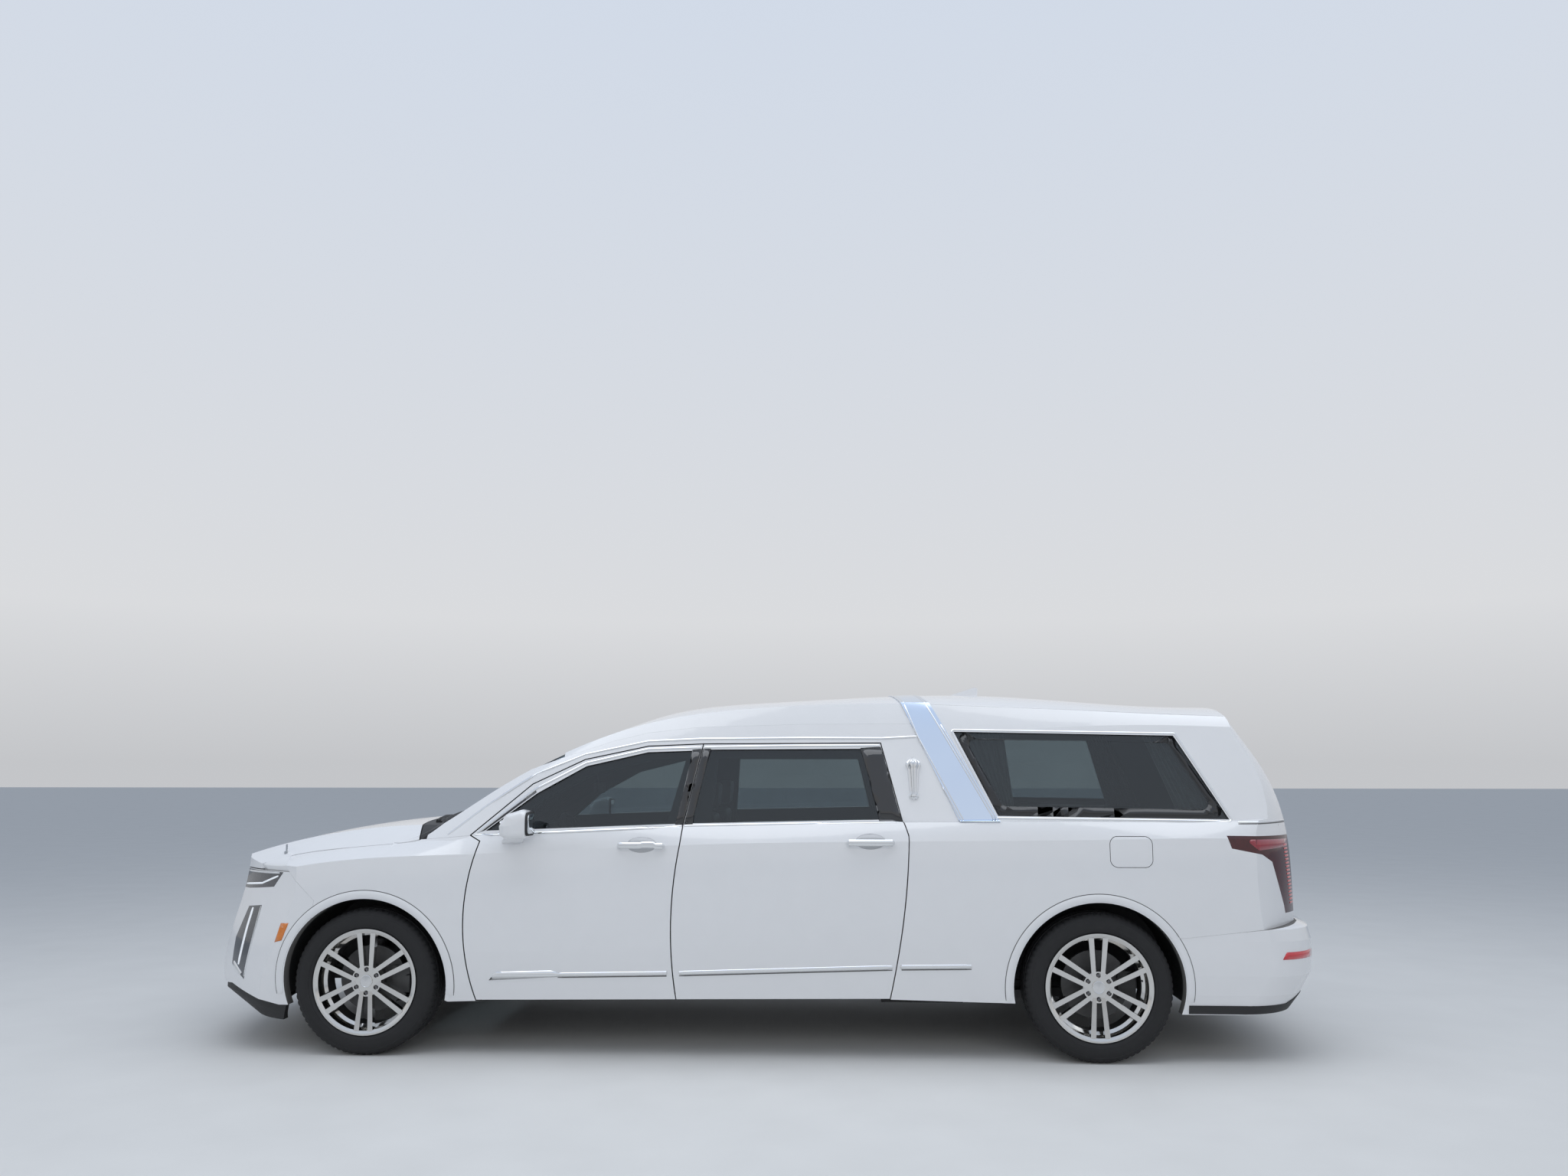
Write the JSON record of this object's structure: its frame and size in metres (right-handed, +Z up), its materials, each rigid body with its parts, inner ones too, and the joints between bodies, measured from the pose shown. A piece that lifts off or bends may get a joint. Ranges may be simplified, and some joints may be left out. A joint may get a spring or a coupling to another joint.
{
  "type": "hearse",
  "caption": "Long white raised-roof hearse on an extended estate car, with side and rear doors that open, a diagonal steel landau band, steered front wheels and a roller deck",
  "frame": {"origin": "centre of the car's box in plan, on the ground", "axes": "+X to the tail, +Y to the car's right, +Z up"},
  "size_m": [6.0413, 2.336, 1.9569],
  "materials": {
    "body_paint": "pearl white gloss paint",
    "window_glass": "lightly tinted glass",
    "tyre": "black tyre rubber",
    "alloy": "polished cast alloy",
    "knuckle_iron": "bare cast iron",
    "chassis_steel": "black chassis paint",
    "black_plastic": "moulded black plastic",
    "grille_plastic": "gloss black plastic",
    "lamp_clear": "clear lamp lens",
    "lamp_red": "red lamp lens",
    "band_steel": "polished stainless steel",
    "engine_iron": "cast metal",
    "deck_board": "dark veneered board",
    "cabin_plastic": "soft touch cabin plastic",
    "seat_leather": "black leather",
    "drape_fabric": "pleated cloth"
  },
  "bodies": {
    "car_body": {"cowl": "body_paint", "front_bumper": "body_paint", "rear_bumper": "body_paint", "roof_front": "body_paint", "roof_rear": "body_paint", "aerial_fin": "body_paint", "wing_left": "body_paint", "wing_right": "body_paint", "side_frame_left": "body_paint", "side_frame_right": "body_paint", "roof_rail_left": "body_paint", "roof_rail_right": "body_paint", "quarter_left": "body_paint", "quarter_right": "body_paint", "fixed_glass": "window_glass", "front_subframe": "chassis_steel", "rear_subframe": "chassis_steel", "floor_pan": "chassis_steel", "fuel_tank": "chassis_steel", "rear_gate_frame": "chassis_steel", "front_lip": "black_plastic", "wheel_housings": "black_plastic", "grille": "grille_plastic", "headlamps": "lamp_clear", "tail_lamps": "lamp_red", "landau_band": "band_steel", "engine_block": "engine_iron", "casket_deck": "deck_board", "dashboard": "cabin_plastic", "front_seats": "seat_leather", "drapes": "drape_fabric"},
    "knuckle_left": {"knuckle_left": "knuckle_iron"},
    "knuckle_right": {"knuckle_right": "knuckle_iron"},
    "wheel_front_left": {"wheel_front_left": "alloy", "tyre_front_left": "tyre"},
    "wheel_front_right": {"wheel_front_right": "alloy", "tyre_front_right": "tyre"},
    "wheel_rear_left": {"wheel_rear_left": "alloy", "tyre_rear_left": "tyre"},
    "wheel_rear_right": {"wheel_rear_right": "alloy", "tyre_rear_right": "tyre"},
    "door_front_left": {"door_front_left": "body_paint", "door_glass_front_left": "window_glass", "mirror_left": "body_paint"},
    "door_front_right": {"door_front_right": "body_paint", "door_glass_front_right": "window_glass", "mirror_right": "body_paint"},
    "door_rear_left": {"door_rear_left": "body_paint", "door_glass_rear_left": "window_glass"},
    "door_rear_right": {"door_rear_right": "body_paint", "door_glass_rear_right": "window_glass"},
    "bonnet": {"bonnet": "body_paint"},
    "rear_door": {"rear_door": "body_paint", "rear_door_glass": "window_glass"},
    "fuel_flap": {"fuel_flap": "body_paint"},
    "steering_wheel": {"steering_wheel": "cabin_plastic"}
  },
  "joints": [
    {"name": "steer_left", "type": "hinge", "parent": "car_body", "child": "knuckle_left", "pos_m": [-1.995, -0.745, 0.374], "axis": [0, 0, 1], "range_deg": [-32, 32]},
    {"name": "wheel_front_left_spin", "type": "hinge", "parent": "knuckle_left", "child": "wheel_front_left", "pos_m": [-1.995, -0.84, 0.374], "axis": [0, 1, 0], "continuous": true},
    {"name": "wheel_rear_left_spin", "type": "hinge", "parent": "car_body", "child": "wheel_rear_left", "pos_m": [1.781, -0.84, 0.374], "axis": [0, 1, 0], "continuous": true},
    {"name": "door_front_left_hinge", "type": "hinge", "parent": "car_body", "child": "door_front_left", "pos_m": [-1.468, -0.984, 0.8], "axis": [0, 0, -1], "range_deg": [0, 65]},
    {"name": "door_rear_left_hinge", "type": "hinge", "parent": "car_body", "child": "door_rear_left", "pos_m": [-0.388, -0.985, 0.8], "axis": [0, 0, -1], "range_deg": [0, 60]},
    {"name": "steer_right", "type": "hinge", "parent": "car_body", "child": "knuckle_right", "pos_m": [-1.995, 0.745, 0.374], "axis": [0, 0, 1], "range_deg": [-32, 32]},
    {"name": "wheel_front_right_spin", "type": "hinge", "parent": "knuckle_right", "child": "wheel_front_right", "pos_m": [-1.995, 0.84, 0.374], "axis": [0, 1, 0], "continuous": true},
    {"name": "wheel_rear_right_spin", "type": "hinge", "parent": "car_body", "child": "wheel_rear_right", "pos_m": [1.781, 0.84, 0.374], "axis": [0, 1, 0], "continuous": true},
    {"name": "door_front_right_hinge", "type": "hinge", "parent": "car_body", "child": "door_front_right", "pos_m": [-1.468, 0.984, 0.8], "axis": [0, 0, 1], "range_deg": [0, 65]},
    {"name": "door_rear_right_hinge", "type": "hinge", "parent": "car_body", "child": "door_rear_right", "pos_m": [-0.388, 0.985, 0.8], "axis": [0, 0, 1], "range_deg": [0, 60]},
    {"name": "bonnet_hinge", "type": "hinge", "parent": "car_body", "child": "bonnet", "pos_m": [-1.757, 0, 1.195], "axis": [0, 1, 0], "range_deg": [0, 50]},
    {"name": "rear_door_hinge", "type": "hinge", "parent": "car_body", "child": "rear_door", "pos_m": [2.895, -0.586, 1.2], "axis": [0, 0, -1], "range_deg": [0, 100]},
    {"name": "fuel_flap_hinge", "type": "hinge", "parent": "car_body", "child": "fuel_flap", "pos_m": [1.842, -0.989, 1.058], "axis": [0, 0, -1], "range_deg": [0, 80]},
    {"name": "steering_wheel_turn", "type": "hinge", "parent": "car_body", "child": "steering_wheel", "pos_m": [-1.01, -0.4, 1.045], "axis": [0.9063, 0, 0.4226], "range_deg": [-448, 448]}
  ],
  "couplings": [
    {"joint": "steer_right", "follows": "steer_left", "ratio": 1},
    {"joint": "steering_wheel_turn", "follows": "steer_left", "ratio": 14}
  ]
}
